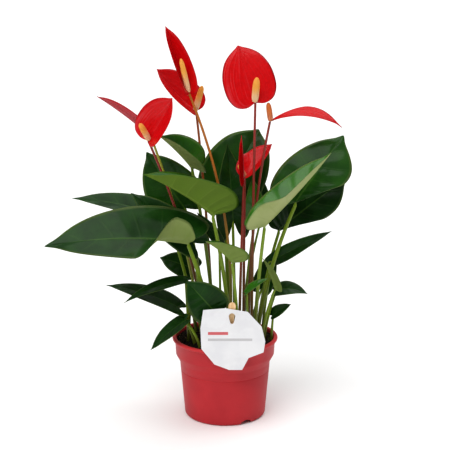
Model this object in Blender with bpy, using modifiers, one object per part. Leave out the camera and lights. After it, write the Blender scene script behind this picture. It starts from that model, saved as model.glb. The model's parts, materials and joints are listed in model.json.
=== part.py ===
"""A potted anthurium: a nursery pot, its soil, a label card on a wooden stick, the leaves and the flowers.

Every size is in millimetres and is turned into metres by `mm`. +Z is up, the pot stands on z = 0, its axis is
the Z axis, and the label faces -Y.
"""

import math

import bmesh
import bpy
from mathutils import Matrix, Vector

mm = 0.001

# Pot
POT_HEIGHT = 92.0
RIM_RADIUS = 60.0
LIP_HEIGHT = 4.0
LIP_REACH = 3.0
BAND_HEIGHT = 21.0
BAND_DRAFT = 1.2
BAND_STEP_WIDTH = 4.3
BAND_STEP_HEIGHT = 7.5
WALL_TAPER = 5.3
POT_WALL = 1.4
RING_LINE_DROP = 38.0
RING_LINE_DEPTH = 0.4
FOOT_HEIGHT = 5.0
FOOT_ROUND = 3.4
HUB_RADIUS = 21.0
POT_STEPS = 40

# Drainage
NOTCH_COUNT = 2
NOTCH_TURN = -59.0
NOTCH_WIDTH = 15.0
NOTCH_HEIGHT = 5.0
HOLE_COUNT = 4
HOLE_RADIUS = 3.5

# Soil
SOIL_EDGE_DROP = 5.0
SOIL_MOUND = 7.0
CLEARANCE = 0.3

# Label
STICK_WIDTH = 8.0
STICK_THICKNESS = 2.0
STICK_LENGTH = 94.0
STICK_LEAN = 7.0
STICK_PITCH = 8.0
STICK_ASIDE = 1.0
STICK_FROM_RIM = 10.5
STICK_DEPTH = 34.0
CARD_THICKNESS = 0.6
CARD_PITCH = -9.0
CARD_TOP_RISE = 54.0
WINDOW_WIDTH = 7.0
WINDOW_HEIGHT = 10.0

# Leaves and flowers
PETIOLE_RADIUS = 2.0
PEDUNCLE_RADIUS = 1.5
BLADE_THICKNESS = 0.8
SPATHE_THICKNESS = 0.8
STEM_SIDES = 8
PETIOLE_SECTIONS = 6
BLADE_SECTIONS = 10
BLADE_START = 0.06
BLADE_END = 0.99
RIB_SHARE = 0.8
PETIOLE_AT_FOOT = 1.25
PETIOLE_AT_BLADE = 0.9
STEM_RISE = 0.26
STEM_AHEAD = 0.24

# A curl near the notch fades out over CURL_FADE of the outline and is gone at CURL_END. CURL_AT_RIB is the
# share of it that turns the whole half at the midrib, and the rest bends it on towards the margin.
CURL_END = 0.62
CURL_FADE = 0.18
CURL_AT_RIB = 0.4

# Half outlines of a blade, from the notch round the lobe to the tip. The first number is the distance from
# the midrib as a share of the half width, the second the distance past the joint as a share of the length.
HEART = (
    (0, 0), (0.32, -0.12), (0.66, -0.14), (0.92, -0.01), (1.0, 0.18),
    (0.93, 0.4), (0.7, 0.64), (0.33, 0.86), (0, 1),
)
ARROW = (
    (0, 0), (0.3, -0.1), (0.65, -0.08), (0.93, 0.08), (1.0, 0.27),
    (0.86, 0.5), (0.56, 0.72), (0.22, 0.9), (0, 1),
)
ROUND = (
    (0, 0), (0.36, -0.05), (0.73, 0.0), (0.95, 0.15), (1.0, 0.35),
    (0.93, 0.56), (0.69, 0.77), (0.28, 0.93), (0, 1),
)
TUCKED = (
    (0, 0), (0.1, 0.05), (0.24, 0.13), (0.43, 0.24), (0.67, 0.37),
    (0.91, 0.52), (0.84, 0.7), (0.4, 0.88), (0, 1),
)
BLUNT = (
    (0, 0), (0.28, -0.03), (0.55, -0.01), (0.86, 0.05), (1.0, 0.19),
    (0.94, 0.4), (0.7, 0.64), (0.33, 0.86), (0, 1),
)
SPEAR = (
    (0, 0), (0.36, -0.12), (0.7, -0.17), (0.95, -0.1), (1.0, 0.04),
    (0.84, 0.26), (0.6, 0.5), (0.32, 0.75), (0, 1),
)
DEEP = (
    (0, 0), (0.3, -0.2), (0.66, -0.25), (0.94, -0.09), (1.0, 0.14),
    (0.87, 0.38), (0.6, 0.63), (0.27, 0.86), (0, 1),
)

# Each leaf: where its petiole leaves the soil, where the petiole meets the blade, where the blade's tip is,
# how wide the blade is and which way its upper side faces. In degrees: droop bends the midrib, fold raises
# the left and the right half, cup bends both margins up, and curl does so near the notch on the left and the
# right. outline is the left and the right half's.
LEAVES = {
    "leaf_far_left": dict(
        root=(-12, -33), joint=(-40, -37, 209), tip=(-194, -50, 207), width=84, faces=(0, -0.58, 1),
        droop=24, fold=(14, 18), curl=(100, 0), twist=-8, outline=(BLUNT, HEART),
    ),
    "leaf_left_dark": dict(
        root=(-24, -13), joint=(-36, -8, 202), tip=(-105, 4, 256), width=42, faces=(-0.5, -0.8, 0.6),
        droop=40, fold=(35, 12),
    ),
    "leaf_back_left": dict(
        root=(-33, 9), joint=(-66, 38, 220), tip=(-177, 45, 242), width=44, faces=(0, -0.4, 1),
        droop=22, fold=(10, 14),
    ),
    "leaf_left_heart": dict(
        root=(-22, 21), joint=(-46, 24, 235), tip=(-89, 32, 298), width=66, faces=(-0.3, -1, 0.4),
        droop=20, fold=(10, 10),
    ),
    "leaf_left_young": dict(
        root=(-12, 12), joint=(-36, 12, 283), tip=(-73, 2, 320), width=52, faces=(0.5, -0.9, 0.6),
        droop=20, fold=(78, 10), colour="young",
    ),
    "leaf_front_olive": dict(
        root=(7, -23), joint=(-12, -30, 238), tip=(-87, -46, 285), width=66, faces=(0.45, 0.25, 0.9),
        droop=15, fold=(85, 50), outline=(SPEAR, ARROW), colour="young",
    ),
    "leaf_back_tall": dict(
        root=(5, 30), joint=(-3, 52, 237), tip=(39, 66, 320), width=80, faces=(-0.2, -1, 0.3),
        droop=15, fold=(8, 14), outline=(ROUND, ROUND),
    ),
    "leaf_centre_dark": dict(
        root=(11, 8), joint=(9, 30, 220), tip=(2, 32, 308), width=42, faces=(0.2, -1, 0.1),
        droop=15, fold=(14, 14), outline=(DEEP, DEEP),
    ),
    "leaf_right_large": dict(
        root=(36, -3), joint=(79, 4, 245), tip=(133, 24, 318), width=74, faces=(-0.2, -1, 0.6),
        droop=18, fold=(8, -10), outline=(HEART, TUCKED),
    ),
    "leaf_right_vivid": dict(
        root=(38, 18), joint=(62, 36, 206), tip=(141, 50, 265), width=56, faces=(-0.3, -1, 0.6),
        droop=16, fold=(4, 4), outline=(ROUND, TUCKED),
    ),
    "leaf_right_folded": dict(
        root=(33, -22), joint=(42, -30, 226), tip=(115, -22, 305), width=56, faces=(-0.8, -0.1, 1),
        droop=-10, fold=(45, 30), curl=(0, 38), colour="young",
    ),
    "leaf_small_olive": dict(
        root=(15, -37), joint=(9, -46, 189), tip=(-21, -50, 213), width=40, faces=(0.6, 0.25, 0.9),
        droop=20, fold=(58, 34), outline=(SPEAR, ARROW), colour="young",
    ),
    "leaf_right_narrow": dict(
        root=(43, 11), joint=(54, 13, 176), tip=(121, 11, 211), width=19, faces=(-0.3, -1, 0.6),
        droop=14, fold=(28, 14), outline=(ARROW, ARROW),
    ),
    "leaf_right_curled": dict(
        root=(44, -10), joint=(57, 3, 143), tip=(93, -6, 142), width=26, faces=(0, -0.5, 1),
        droop=60, fold=(8, 8), outline=(ARROW, ARROW),
    ),
    "leaf_right_small": dict(
        root=(53, -5), joint=(54, -3, 116), tip=(75, -5, 130), width=16, faces=(0, -0.7, 1),
        droop=20, fold=(15, 15), outline=(ARROW, ARROW),
    ),
    "leaf_low_left": dict(
        root=(-34, -25), joint=(-52, -22, 131), tip=(-131, -30, 159), width=36, faces=(0.1, -0.35, 1),
        droop=24, fold=(6, 6), outline=(ARROW, ARROW),
    ),
    "leaf_low_narrow": dict(
        root=(-41, -15), joint=(-43, -27, 163), tip=(-110, -46, 143), width=18, faces=(0, -0.5, 1),
        droop=40, fold=(14, 14), outline=(ARROW, ARROW),
    ),
    "leaf_front_dark": dict(
        root=(-10, -40), joint=(-12, -50, 136), tip=(-41, -50, 169), width=44, faces=(0, -1, 0.2),
        droop=14, fold=(8, 8),
    ),
    "leaf_bottom_left": dict(
        root=(-28, -36), joint=(-44, -32, 119), tip=(-83, -30, 84), width=24, faces=(-0.4, -0.6, 1),
        droop=20, fold=(12, 12), outline=(ARROW, ARROW),
    ),
    "leaf_mid_dark": dict(
        root=(-42, 19), joint=(-36, 34, 161), tip=(-76, 40, 173), width=32, faces=(0, -1, 0.6),
        droop=20, fold=(8, 8),
    ),
    "leaf_pale_thin": dict(
        root=(25, -30), joint=(23, -38, 153), tip=(47, -43, 170), width=12, faces=(0, -0.6, 1),
        droop=30, fold=(16, 16), outline=(ARROW, ARROW), colour="young",
    ),
    "leaf_right_olive": dict(
        root=(41, -17), joint=(57, -15, 150), tip=(42, -17, 186), width=22, faces=(1, 0.6, 0.4),
        droop=10, fold=(20, 20), outline=(ARROW, ARROW), colour="young",
    ),
    "leaf_inner_dark": dict(
        root=(30, 24), joint=(43, 36, 137), tip=(58, 44, 180), width=26, faces=(-0.3, -1, 0.3),
        droop=12, fold=(8, 8),
    ),
    "leaf_inner_young": dict(
        root=(21, 15), joint=(34, 25, 217), tip=(31, 28, 270), width=26, faces=(0.2, -1, 0.2),
        droop=10, fold=(14, 14), outline=(ARROW, ARROW), colour="young",
    ),
    "leaf_inner_grey": dict(
        root=(20, 30), joint=(44, 50, 223), tip=(44, 56, 263), width=18, faces=(0.2, -1, 0.3),
        droop=12, fold=(12, 12), outline=(ARROW, ARROW),
    ),
    "leaf_inner_small": dict(
        root=(-5, 7), joint=(-6, 6, 197), tip=(-32, 5, 234), width=16, faces=(0.3, -1, 0.5),
        droop=20, fold=(18, 18), outline=(ARROW, ARROW),
    ),
}

# Each flower: where its stem leaves the soil, the node that carries spathe and spadix, the spathe's tip and
# width, which way its inner side faces, where the spadix ends and how thick it is.
FLOWERS = {
    "flower_cup": dict(
        root=(-21, 0), node=(-83, -14, 316), tip=(-56, -25, 363), width=54, faces=(-0.5, -1, 0.3),
        spadix=(-91, -24, 336), girth=3.2, droop=-30, fold=(2, 30), cup=20, outline=(ROUND, ROUND),
    ),
    "flower_side": dict(
        root=(-27, 9), node=(-81, 4, 318), tip=(-141, 15, 362), width=34, faces=(0.5, 0.3, 1),
        spadix=(-84, 8, 342), girth=2.8, droop=10, fold=(20, 20), cup=10, outline=(ROUND, ROUND),
    ),
    "flower_tall": dict(
        root=(4, -10), node=(-39, -4, 367), tip=(-64, 4, 438), width=34, faces=(0.35, -1, 0.1),
        spadix=(-47, -16, 404), girth=2.8, droop=-16, fold=(50, 40), cup=20, outline=(ROUND, ROUND),
        bow=(24, 0),
    ),
    "flower_twisted": dict(
        root=(-14, 27), node=(-32, 27, 344), tip=(-75, 20, 391), width=50, faces=(0.8, -0.7, 0.3),
        spadix=(-25, 16, 373), girth=3.4, droop=-30, fold=(25, 15), cup=20, outline=(ROUND, ROUND),
    ),
    "flower_heart": dict(
        root=(30, -6), node=(33, 0, 356), tip=(14, 14, 417), width=57, faces=(0, -1, 0.15),
        spadix=(34, -16, 384), girth=3.8, droop=12, fold=(6, 6), outline=(ROUND, ROUND),
    ),
    "flower_arching": dict(
        root=(27, 5), node=(49, 4, 335), tip=(128, 0, 329), width=27, faces=(0, -0.4, 1),
        spadix=(47, 1, 356), girth=3.0, droop=75, fold=(14, 14), outline=(TUCKED, TUCKED), bow=(-7, 0),
    ),
    "flower_young": dict(
        root=(21, -2), node=(22, 20, 271), tip=(53, 33, 307), width=38, faces=(-0.9, -0.6, 0.8),
        spadix=(15, 11, 286), girth=2.4, droop=-10, fold=(30, 20), curl=(40, 0), outline=(ROUND, ROUND),
    ),
    "flower_bud": dict(
        root=(16, -12), node=(21, -2, 270), tip=(18, -4, 321), width=20, faces=(-0.3, -1, 0.1),
        droop=-6, fold=(62, 62), cup=30, outline=(ARROW, ARROW),
    ),
}

COLOURS = {
    "pot": ((0.50, 0.035, 0.045), 0.45),
    "soil": ((0.02, 0.014, 0.01), 0.95),
    "card": ((0.72, 0.72, 0.73), 0.6),
    "wood": ((0.72, 0.47, 0.25), 0.6),
    "leaf": ((0.014, 0.075, 0.016), 0.32),
    "young": ((0.075, 0.16, 0.015), 0.35),
    "spathe": ((0.62, 0.006, 0.012), 0.25),
    "spadix": ((0.85, 0.48, 0.2), 0.55),
    "peduncle": ((0.20, 0.07, 0.025), 0.45),
}

plant = bpy.data.collections.new("potted_anthurium")
cutters = bpy.data.collections.new("cutters")


def clearScene():
    for thing in list(bpy.data.objects):
        bpy.data.objects.remove(thing)
    for group in (plant, cutters):
        bpy.context.scene.collection.children.link(group)
    cutters.hide_render = True


def material(name):
    made = bpy.data.materials.get(name)
    if made:
        return made
    colour, roughness = COLOURS[name]
    made = bpy.data.materials.new(name)
    made.use_nodes = True
    shader = made.node_tree.nodes["Principled BSDF"]
    shader.inputs["Base Color"].default_value = (*colour, 1)
    shader.inputs["Roughness"].default_value = roughness
    shader.inputs["Metallic"].default_value = 0
    return made


def addMesh(name, shape, colour, group=plant):
    """An object made from a bmesh in metres."""
    data = bpy.data.meshes.new(name)
    shape.to_mesh(data)
    shape.free()
    thing = bpy.data.objects.new(name, data)
    group.objects.link(thing)
    if group is cutters:
        thing.hide_render = True
        thing.display_type = "WIRE"
    else:
        data.materials.append(material(colour))
        data.shade_smooth()
        data.set_sharp_from_angle(angle=math.radians(40))
    return thing


def turned(name, profile, colour, steps=POT_STEPS):
    """A solid of revolution. The profile is (radius, height) pairs and starts and ends on the axis."""
    shape = bmesh.new()
    points = [shape.verts.new((radius * mm, 0, height * mm)) for radius, height in profile]
    for first, second in zip(points, points[1:]):
        shape.edges.new((first, second))
    thing = addMesh(name, shape, colour)
    screw = thing.modifiers.new("Turn", "SCREW")
    screw.axis = "Z"
    screw.steps = steps
    screw.render_steps = steps
    screw.use_merge_vertices = True
    screw.merge_threshold = 0.00001
    return thing


def cut(thing, cutter):
    boolean = thing.modifiers.new("Cut " + cutter.name, "BOOLEAN")
    boolean.operation = "DIFFERENCE"
    boolean.object = cutter


def flatPlate(name, outlines, thickness, colour, place):
    """A flat outline with any holes, in its own XZ plane, extruded to a thickness and put in place."""
    curve = bpy.data.curves.new(name, "CURVE")
    curve.dimensions = "2D"
    curve.fill_mode = "BOTH"
    curve.extrude = thickness / 2 * mm
    for outline in outlines:
        spline = curve.splines.new("POLY")
        spline.points.add(len(outline) - 1)
        for point, (x, z) in zip(spline.points, outline):
            point.co = (x * mm, z * mm, 0, 1)
        spline.use_cyclic_u = True
    thing = bpy.data.objects.new(name, curve)
    plant.objects.link(thing)
    curve.materials.append(material(colour))
    thing.matrix_world = place @ Matrix.Rotation(math.radians(90), 4, "X")
    return thing


# Pot and soil


def bodyRadius(height):
    """Outer radius of the pot's wall below the band."""
    top = POT_HEIGHT - BAND_HEIGHT - BAND_STEP_HEIGHT
    atTop = RIM_RADIUS - LIP_REACH - BAND_DRAFT - BAND_STEP_WIDTH
    return atTop - WALL_TAPER * (top - height) / top


def innerRadius(height):
    """Inner radius of the pot at a height above its floor."""
    bandBottom = POT_HEIGHT - BAND_HEIGHT
    stepBottom = bandBottom - BAND_STEP_HEIGHT
    if height <= stepBottom:
        return bodyRadius(height) - POT_WALL
    atBand = RIM_RADIUS - LIP_REACH - BAND_DRAFT - POT_WALL
    if height <= bandBottom:
        share = (height - stepBottom) / BAND_STEP_HEIGHT
        return bodyRadius(stepBottom) - POT_WALL + share * (atBand - bodyRadius(stepBottom) + POT_WALL)
    return atBand + BAND_DRAFT * (height - bandBottom) / BAND_HEIGHT


def arc(centre, radius, start, end, count):
    angles = [math.radians(start + (end - start) * i / count) for i in range(count + 1)]
    return [(centre[0] + radius * math.cos(a), centre[1] + radius * math.sin(a)) for a in angles]


def makePot():
    bandBottom = POT_HEIGHT - BAND_HEIGHT
    stepBottom = bandBottom - BAND_STEP_HEIGHT
    floor = FOOT_HEIGHT + POT_WALL
    rimInner = innerRadius(POT_HEIGHT)
    ring = POT_HEIGHT - RING_LINE_DROP
    hubTop = HUB_RADIUS + FOOT_HEIGHT
    footOuter = bodyRadius(FOOT_ROUND) - FOOT_ROUND
    inside = [
        (0, POT_WALL),
        (HUB_RADIUS - POT_WALL / 2, POT_WALL),
        (hubTop - POT_WALL / 2, floor),
        (innerRadius(floor) - POT_WALL, floor),
        (innerRadius(floor + POT_WALL), floor + POT_WALL),
        (innerRadius(stepBottom), stepBottom),
        (innerRadius(bandBottom), bandBottom),
        (rimInner, POT_HEIGHT - 0.8),
        (rimInner + 0.8, POT_HEIGHT),
    ]
    lipMiddle = (RIM_RADIUS - LIP_HEIGHT / 2, POT_HEIGHT - LIP_HEIGHT / 2)
    lip = arc(lipMiddle, LIP_HEIGHT / 2, 90, -90, 6)
    outside = [
        (RIM_RADIUS - LIP_REACH, POT_HEIGHT - LIP_HEIGHT - 0.4),
        (RIM_RADIUS - LIP_REACH - BAND_DRAFT, bandBottom),
        (bodyRadius(stepBottom), stepBottom),
        (bodyRadius(ring), ring + 0.5),
        (bodyRadius(ring) - RING_LINE_DEPTH, ring),
        (bodyRadius(ring), ring - 0.5),
    ]
    foot = arc((footOuter, FOOT_ROUND), FOOT_ROUND, 0, -90, 4)
    underside = [
        (footOuter - POT_WALL, 0),
        (innerRadius(FOOT_HEIGHT), FOOT_ROUND),
        (innerRadius(FOOT_HEIGHT), FOOT_HEIGHT),
        (hubTop, FOOT_HEIGHT),
        (HUB_RADIUS, 0),
        (0, 0),
    ]
    pot = turned("pot", inside + lip + outside + foot + underside, "pot")
    cut(pot, makeDrainCutter(footOuter, hubTop))
    return pot


def makeDrainCutter(footOuter, hubTop):
    """Arched notches through the foot ring, and round holes through the floor."""
    shape = bmesh.new()
    lay = Matrix.Rotation(math.radians(90), 4, "Y")
    squash = Matrix.Diagonal((1, 1, 2 * NOTCH_HEIGHT / NOTCH_WIDTH, 1))
    out = Matrix.Translation((footOuter * mm, 0, 0))
    for i in range(NOTCH_COUNT):
        turn = Matrix.Rotation(math.radians(NOTCH_TURN + i * 360 / NOTCH_COUNT), 4, "Z")
        bmesh.ops.create_cone(
            shape, cap_ends=True, segments=16, radius1=NOTCH_WIDTH / 2 * mm, radius2=NOTCH_WIDTH / 2 * mm,
            depth=6 * FOOT_ROUND * mm, matrix=turn @ out @ squash @ lay,
        )
    holeCircle = (footOuter + hubTop) / 2 - POT_WALL
    up = Matrix.Translation((holeCircle * mm, 0, FOOT_HEIGHT * mm))
    for i in range(HOLE_COUNT):
        turn = Matrix.Rotation(math.radians(NOTCH_TURN + (i + 0.5) * 360 / HOLE_COUNT), 4, "Z")
        bmesh.ops.create_cone(
            shape, cap_ends=True, segments=12, radius1=HOLE_RADIUS * mm, radius2=HOLE_RADIUS * mm,
            depth=4 * POT_WALL * mm, matrix=turn @ up,
        )
    return addMesh("drain_cutter", shape, None, cutters)


def soilRadius():
    return innerRadius(POT_HEIGHT - SOIL_EDGE_DROP) - CLEARANCE


def soilTop(radius):
    """Height of the soil's domed top at a distance from the axis."""
    share = min(radius / soilRadius(), 1)
    return POT_HEIGHT - SOIL_EDGE_DROP + SOIL_MOUND * (1 - share * share)


def makeSoil():
    bandBottom = POT_HEIGHT - BAND_HEIGHT
    stepBottom = bandBottom - BAND_STEP_HEIGHT
    floor = FOOT_HEIGHT + POT_WALL + CLEARANCE
    dome = [(soilRadius() * i / 8, soilTop(soilRadius() * i / 8)) for i in range(9)]
    side = [
        (innerRadius(bandBottom) - CLEARANCE, bandBottom),
        (innerRadius(stepBottom) - CLEARANCE, stepBottom),
        (innerRadius(floor + POT_WALL) - CLEARANCE, floor + POT_WALL),
        (innerRadius(floor) - POT_WALL - CLEARANCE, floor),
        (HUB_RADIUS + FOOT_HEIGHT - POT_WALL / 2 - CLEARANCE / 2, floor),
        (HUB_RADIUS - POT_WALL / 2 - CLEARANCE / 2, POT_WALL + CLEARANCE),
        (0, POT_WALL + CLEARANCE),
    ]
    soil = turned("soil", dome + side, "soil")
    slot = makeStickCutter()
    cut(soil, slot)
    return soil


# Label


def stickPlace():
    """Matrix of the stick: its origin is on the soil's level, its length along its own Z."""
    x, y = STICK_ASIDE, STICK_FROM_RIM - RIM_RADIUS
    level = soilTop(math.hypot(x, y))
    lean = Matrix.Rotation(math.radians(STICK_LEAN), 4, "Y")
    pitch = Matrix.Rotation(math.radians(STICK_PITCH), 4, "X")
    return Matrix.Translation((x * mm, y * mm, level * mm)) @ lean @ pitch


def stickOutline():
    half = STICK_WIDTH / 2
    top = STICK_LENGTH - STICK_DEPTH
    return [(-half, -STICK_DEPTH), (half, -STICK_DEPTH)] + arc((0, top - half), half, 0, 180, 10)


def makeStick():
    return flatPlate("label_stick", [stickOutline()], STICK_THICKNESS, "wood", stickPlace())


def makeStickCutter():
    shape = bmesh.new()
    size = (STICK_WIDTH + 2 * CLEARANCE, STICK_THICKNESS + 2 * CLEARANCE, 2 * (STICK_DEPTH + CLEARANCE))
    bmesh.ops.create_cube(shape, size=1, matrix=stickPlace() @ Matrix.Diagonal((*[s * mm for s in size], 1)))
    return addMesh("stick_slot", shape, None, cutters)


def makeCard():
    """A many-sided card that hangs on the front of the stick, with a window that shows the wood."""
    corners = [
        (-31, -2), (-7, 0), (17, -4), (32, -20), (36, -36), (34, -48), (18, -54),
        (11, -67), (-3, -67), (-19, -61), (-33, -44), (-34, -22),
    ]
    half = WINDOW_WIDTH / 2
    window = arc((0, -9), half, 0, 180, 6) + arc((0, -5 - WINDOW_HEIGHT), half * 0.6, 180, 360, 4)
    top = stickPlace() @ Vector((0, -(STICK_THICKNESS / 2 + CLEARANCE) * mm, CARD_TOP_RISE * mm))
    pitch = Matrix.Rotation(math.radians(CARD_PITCH), 4, "X")
    forward = Matrix.Translation((0, -CARD_THICKNESS * mm, 0))
    place = Matrix.Translation(top) @ pitch @ forward
    return flatPlate("label_card", [corners, window], CARD_THICKNESS, "card", place)


# Blades


def spline(points, share):
    """A smooth curve through the points, read at a share from 0 to 1."""
    spans = len(points) - 1
    at = min(share * spans, spans - 1e-9)
    i = int(at)
    t = at - i
    near = [points[min(max(k, 0), spans)] for k in (i - 1, i, i + 1, i + 2)]
    found = []
    for a, b, c, d in zip(*near):
        bent = (2 * a - 5 * b + 4 * c - d) * t**2 + (3 * b - a - 3 * c + d) * t**3
        found.append(0.5 * (2 * b + (c - a) * t + bent))
    return found


class Blade:
    """A leaf's or a spathe's surface. `point` gives a place on it: `along` runs from the notch to the tip,
    `across` from the left margin at -1 over the midrib to the right margin at 1, `lift` is off the surface.
    """

    def __init__(
        self, joint, tip, width, faces, droop=0, fold=(0, 0), cup=0, curl=(0, 0), twist=0,
        outline=(HEART, HEART),
    ):
        self.joint = Vector(joint)
        chord = Vector(tip) - self.joint
        self.bend = math.radians(droop or 0.1)
        self.radius = chord.length / (2 * math.sin(self.bend / 2))
        self.length = self.radius * self.bend
        self.forward = chord.normalized()
        self.right = self.forward.cross(Vector(faces)).normalized()
        self.up = self.right.cross(self.forward)
        self.half = width / 2
        self.fold = [math.radians(angle) for angle in fold]
        self.cup = math.radians(cup)
        self.curl = [math.radians(angle) for angle in curl]
        self.twist = math.radians(twist)
        self.outline = outline

    def frame(self, run):
        """Midrib point, forward, right and up at a distance along the midrib."""
        start = self.bend / 2
        now = start - run / self.radius
        ahead = self.radius * (math.sin(start) - math.sin(now))
        rise = self.radius * (math.cos(now) - math.cos(start))
        middle = self.joint + self.forward * ahead + self.up * rise
        forward = self.forward * math.cos(now) + self.up * math.sin(now)
        up = self.up * math.cos(now) - self.forward * math.sin(now)
        roll = Matrix.Rotation(self.twist * max(run, 0) / self.length, 3, forward)
        return middle, forward, roll @ self.right, roll @ up

    def point(self, along, across, lift=0.0):
        half = 0 if across < 0 else 1
        share, back = spline(self.outline[half], along)
        inner = 0.03 * along + 0.97 * max(0, (along - 0.2) / 0.8) ** 1.8
        out = abs(across)
        run = self.length * (inner + (back - inner) * out**1.3)
        width = self.half * share * out
        middle, _, right, up = self.frame(run)
        basal = min(max((CURL_END - along) / CURL_FADE, 0), 1)
        curl = [angle * basal * basal * (3 - 2 * basal) for angle in self.curl]
        starts = [fold + CURL_AT_RIB * angle for fold, angle in zip(self.fold, curl)]
        start = starts[half]
        bending = (self.cup + (1 - CURL_AT_RIB) * curl[half]) / self.half or 0.00001
        end = start + bending * width
        lean = end if across else (starts[1] - starts[0]) / 2
        aside = (math.sin(end) - math.sin(start)) / bending - lift * math.sin(lean)
        rise = (math.cos(start) - math.cos(end)) / bending + lift * math.cos(lean)
        return middle + right * (aside * (2 * half - 1)) + up * rise


def loft(name, rings, colour):
    """A closed body through rings of equally many points, with a face on the first and the last ring.

    The triangles of a ring's second half mirror those of its first, so a thin body's two sides stay parallel.
    """
    shape = bmesh.new()
    rows = [[shape.verts.new(point * mm) for point in ring] for ring in rings]
    for lower, upper in zip(rows, rows[1:]):
        for i in range(len(lower)):
            j = (i + 1) % len(lower)
            first, second = (lower[i], upper[j]) if i < len(lower) / 2 else (lower[j], upper[i])
            shape.faces.new((lower[i], lower[j], second))
            shape.faces.new((first, upper[j], upper[i]))
    shape.faces.new(rows[0][::-1])
    shape.faces.new(rows[-1])
    bmesh.ops.recalc_face_normals(shape, faces=shape.faces)
    return addMesh(name, shape, colour)


def stemFoot(root, radius):
    """Lowest point of a stem, clear of the domed soil under the whole of its end."""
    level = soilTop(max(math.hypot(*root) - radius, 0)) + CLEARANCE
    return Vector((*root, level))


def stemCurve(root, end, radius, bow=(0, 0)):
    """Control points of a stem that starts upright and leans over to its end."""
    foot = stemFoot(root, radius)
    reach = (end - foot).length
    middle = foot + Vector((bow[0], bow[1], STEM_RISE * reach)) + STEM_AHEAD * (end - foot)
    return foot, middle, end


def stemPoint(controls, share):
    foot, middle, end = controls
    point = foot * (1 - share) ** 2 + middle * 2 * share * (1 - share) + end * share**2
    tangent = (middle - foot) * (1 - share) + (end - middle) * share
    return point, tangent.normalized()


def roundRing(middle, tangent, right, radius):
    """Points round a stem, starting at its right side and going over its upper side."""
    right = (right - tangent * right.dot(tangent)).normalized()
    up = right.cross(tangent)
    angles = [2 * math.pi * i / STEM_SIDES for i in range(STEM_SIDES)]
    return [middle + (right * math.cos(a) + up * math.sin(a)) * radius for a in angles]


def bladeRing(blade, along, radius):
    """Points round a blade's cross-section, in the order of roundRing. The midrib fades out to the tip."""
    rib = max(BLADE_THICKNESS, 2 * radius * RIB_SHARE * (1 - along))
    mid = BLADE_THICKNESS / 2
    lifts = [(1, 0), (0.5, mid), (0, mid), (-0.5, mid), (-1, 0), (-0.5, -mid), (0, mid - rib), (0.5, -mid)]
    return [blade.point(along, across, lift) for across, lift in lifts]


def makeLeaf(name, root, joint, width, colour="leaf", bow=(0, 0), **shape):
    """A petiole, thicker for a wider blade and at its foot, that flattens out into its blade."""
    blade = Blade(joint, width=width, **shape)
    stem = PETIOLE_RADIUS * (0.55 + width / 140)
    _, _, right, up = blade.frame(0)
    controls = stemCurve(root, blade.joint - up * stem, PETIOLE_AT_FOOT * stem, bow)
    rings = []
    for i in range(PETIOLE_SECTIONS):
        middle, tangent = stemPoint(controls, 0.98 * i / (PETIOLE_SECTIONS - 1))
        if i == 0:
            tangent = Vector((0, 0, 1))
        radius = stem * (PETIOLE_AT_FOOT + (PETIOLE_AT_BLADE - PETIOLE_AT_FOOT) * i / (PETIOLE_SECTIONS - 1))
        rings.append(roundRing(middle, tangent, right, radius))
    for i in range(BLADE_SECTIONS):
        along = BLADE_START + (BLADE_END - BLADE_START) * i / (BLADE_SECTIONS - 1)
        rings.append(bladeRing(blade, along, stem))
    return loft(name, rings, colour)


# Flowers


def makePeduncle(name, root, node, bow, radius=PEDUNCLE_RADIUS):
    foot, middle, end = stemCurve(root, node, radius, bow)
    curve = bpy.data.curves.new(name, "CURVE")
    curve.dimensions = "3D"
    curve.bevel_depth = radius * mm
    curve.bevel_resolution = 2
    curve.use_fill_caps = True
    curve.resolution_u = 8
    spline = curve.splines.new("BEZIER")
    spline.bezier_points.add(1)
    first, last = spline.bezier_points
    first.co = foot * mm
    first.handle_right = (foot + (middle - foot) * 2 / 3) * mm
    first.handle_left = (foot - (middle - foot) / 3) * mm
    last.co = end * mm
    last.handle_left = (end + (middle - end) * 2 / 3) * mm
    last.handle_right = (end - (middle - end) / 3) * mm
    thing = bpy.data.objects.new(name, curve)
    plant.objects.link(thing)
    curve.materials.append(material("peduncle"))
    return thing


def makeSpathe(name, blade):
    columns, rows = 6, 10
    shape = bmesh.new()
    bmesh.ops.create_grid(shape, x_segments=columns, y_segments=rows, size=1)
    for corner in shape.verts:
        along = 0.03 + 0.96 * (corner.co.y + 1) / 2
        corner.co = blade.point(along, corner.co.x) * mm
    thing = addMesh(name, shape, "spathe")
    shell = thing.modifiers.new("Shell", "SOLIDIFY")
    shell.thickness = SPATHE_THICKNESS * mm
    shell.offset = 0
    return thing


def makeSpadix(name, start, end, girth):
    length = (end - start).length
    foot = ((0, 0.0), (0.5, 0.0), (0.8, 0.06), (0.97, 0.25), (1.0, 0.5))
    top = ((0.9, 0.8), (0.66, 0.93), (0.34, 0.985), (0, 1))
    profile = [(girth * radius, length * height) for radius, height in reversed(foot + top)]
    thing = turned(name, profile, "spadix", steps=10)
    aim = (end - start).to_track_quat("Z", "Y")
    thing.matrix_world = Matrix.Translation(start * mm) @ aim.to_matrix().to_4x4()
    return thing


def makeFlower(name, root, node, spadix=None, girth=0, bow=(0, 0), **shape):
    """A stem, its spathe and its spadix, a small clearance apart. A bud's rolled spathe hides its spadix."""
    blade = Blade(node, **shape)
    gap = SPATHE_THICKNESS / 2 + CLEARANCE
    _, forward, _, up = blade.frame(0)
    makePeduncle(name + "_peduncle", root, blade.joint - up * (gap + PEDUNCLE_RADIUS), bow)
    makeSpathe(name + "_spathe", blade)
    if spadix:
        start = blade.joint + up * (gap + girth * 0.9) + forward * girth * 0.5
        makeSpadix(name + "_spadix", start, Vector(spadix), girth)


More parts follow.
